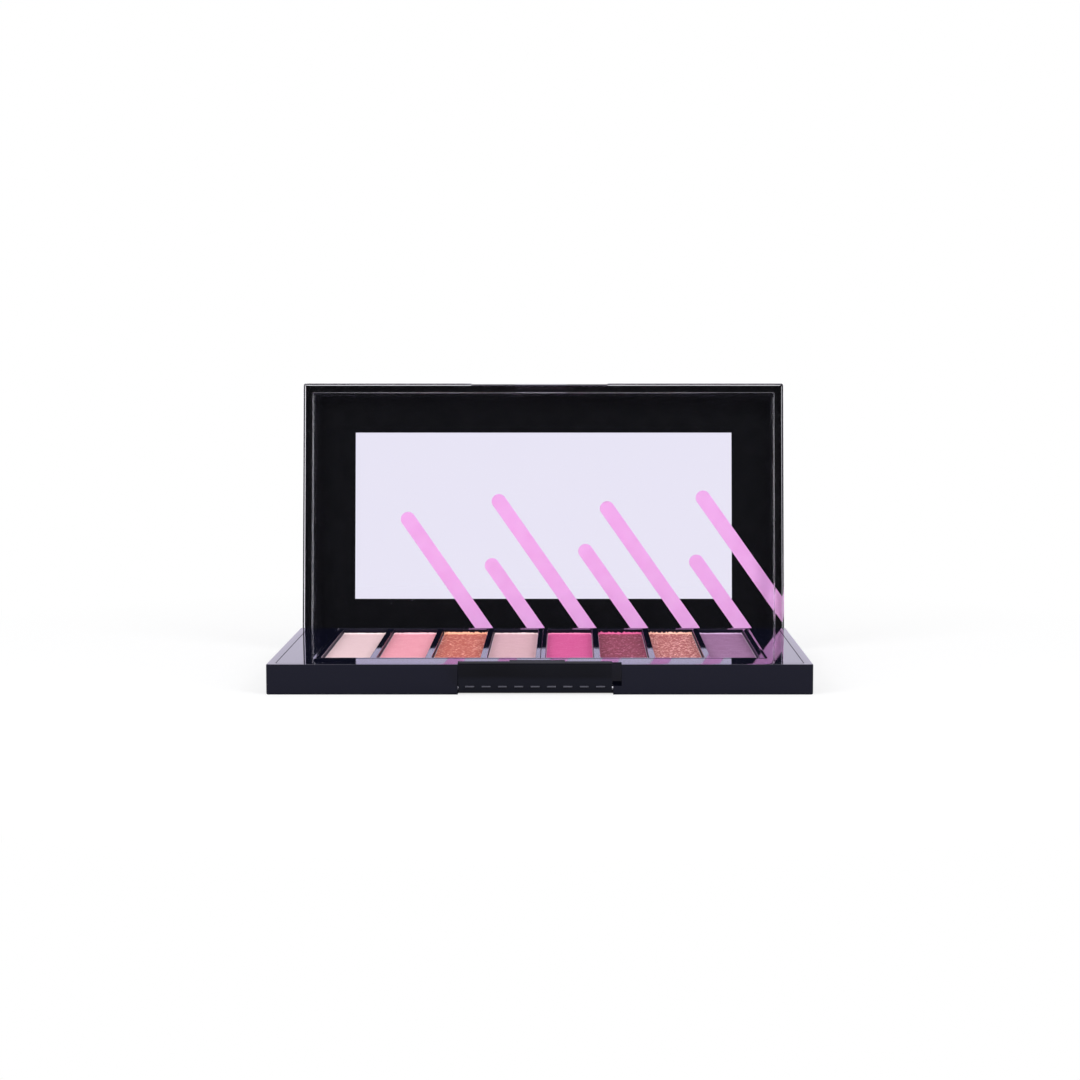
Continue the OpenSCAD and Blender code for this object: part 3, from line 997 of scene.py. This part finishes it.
def make_world():
    """White room, whose light on the object and image in reflections are set apart from its look."""
    world = bpy.data.worlds.new("studio")
    bpy.context.scene.world = world
    world.use_nodes = True
    n = Nodes(world.node_tree, "Background", "Generated")
    direct, mirrored = n.sight()
    room = n.spread(n.along("Y"), ROOM_TURN, ROOM_MIRRORED, "SMOOTHSTEP")
    unmirrored = n.mix(direct, ROOM_LIGHT, 1.0)
    n.drive("Strength", n.mix(mirrored, unmirrored, room))
    n.drive("Color", n.mix(mirrored, WHITE, ROOM_MIRRORED_TINT))


def make_floor():
    """Pale floor that keeps the object's shadow and fades to white around it."""
    bm = bmesh.new()
    bmesh.ops.create_grid(bm, x_segments=8, y_segments=8, size=FLOOR_HALF)
    floor = mesh_object("floor", bm)
    floor.data.transform(Matrix.Scale(MM, 4))
    material, n = new_material("floor_paper")
    direct, _ = n.sight()
    n.drive("Base Color", n.mix(n.noise(scale=300.0, detail=3.0), *FLOOR_PAPER))
    n.fix("Roughness", 0.9)
    n.fix("Specular IOR Level", 0.0)
    n.fix("Emission Color", (*WHITE, 1.0))
    n.drive("Emission Strength", n.spread(direct, ZERO_TO_ONE, (0.0, FLOOR_GLOW)))
    away = n.tree.nodes.new("ShaderNodeVectorMath")
    away.operation = "LENGTH"
    n.link(n.place, away.inputs[0])
    far = n.spread(away.outputs["Value"], FLOOR_FADE, ZERO_TO_ONE)
    white = n.tree.nodes.new("ShaderNodeEmission")
    blend = n.tree.nodes.new("ShaderNodeMixShader")
    n.link(n.arithmetic("MULTIPLY", far, direct), blend.inputs[0])
    n.link(n.shader.outputs[0], blend.inputs[1])
    n.link(white.outputs[0], blend.inputs[2])
    n.link(blend.outputs[0], n.tree.nodes["Material Output"].inputs["Surface"])
    floor.data.materials.append(material)


def make_camera():
    """Camera where the photograph's stood, looking slightly down."""
    camera = bpy.data.cameras.new("camera")
    camera.lens = CAMERA_LENS
    camera.sensor_width = CAMERA_SENSOR
    camera.shift_x = CAMERA_SHIFT_X
    obj = bpy.data.objects.new("camera", camera)
    obj.location = CAMERA_PLACE
    obj.rotation_euler = (math.radians(90.0 - CAMERA_DOWN), 0.0, 0.0)
    bpy.context.scene.collection.objects.link(obj)
    bpy.context.scene.camera = obj


# ---------------------------------------------------------------- the scene

def dress_cad_node(name, material):
    """Gives a CAD node that stays in sight its material."""
    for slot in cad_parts[name].material_slots:
        slot.material = material


def make_pieces():
    """Every piece with its material, riding on its body."""
    black = moulded_plastic("black_moulding", BLACK)
    tray_black = moulded_plastic("tray_moulding", BLACK, ior=1.32, matt_below=TRAY_MATT_Z)
    latch_black = moulded_plastic("latch_moulding", LATCH_BLACK, roughness=(0.04, 0.10), ior=1.38,
                                  painted_reflection_below=LATCH_PAINTED_REFLECTION_Z)
    # the grip bars' pale grey is a painted highlight
    grip_painted_highlight = moulded_plastic("grip_painted_highlight", GRIP_GREY, roughness=(0.25, 0.40))
    pan_metal = bare_metal("pan_sheet", PAN_SHEET, 0.45, grain=(400.0, 60.0, 1800.0), bare=0.5)
    steel = bare_metal("pin_steel", STEEL, 0.22, grain=(60.0, 2400.0, 2400.0))
    black_ink = printed_film("black_ink", BLACK_INK)
    pink_ink = printed_film("pink_ink", PINK_INK)

    parts = [
        (make_base_shell(black), "black_plastic"),
        (make_bezel(black), "black_plastic"),
        (make_tray("pan_tray_left", 1, tray_black), "black_plastic"),
        (make_tray("pan_tray_right", 5, tray_black), "black_plastic"),
        (make_lid(clear_plastic("lid_clear")), "clear_plastic"),
        (make_latch(latch_black), "black_plastic"),
        (make_grips(grip_painted_highlight), "black_plastic"),
    ]
    for i, (colour, fleck, shimmer, crumble) in enumerate(SHADES, start=1):
        parts.append((make_pan(i, pan_metal), "pan_metal"))
        powder = pressed_powder(f"powder_{i}_cake", colour, fleck, shimmer)
        parts.append((make_shade(i, powder, crumble), f"powder_{i}"))

    dress_cad_node("lid_border", black_ink)
    dress_cad_node("lid_motif", pink_ink)
    dress_cad_node("hinge_pins", steel)
    dress_cad_node("latch_pin", steel)


bpy.context.scene.view_settings.view_transform = "Standard"
make_camera()
make_world()
make_lights()
make_floor()
make_pieces()
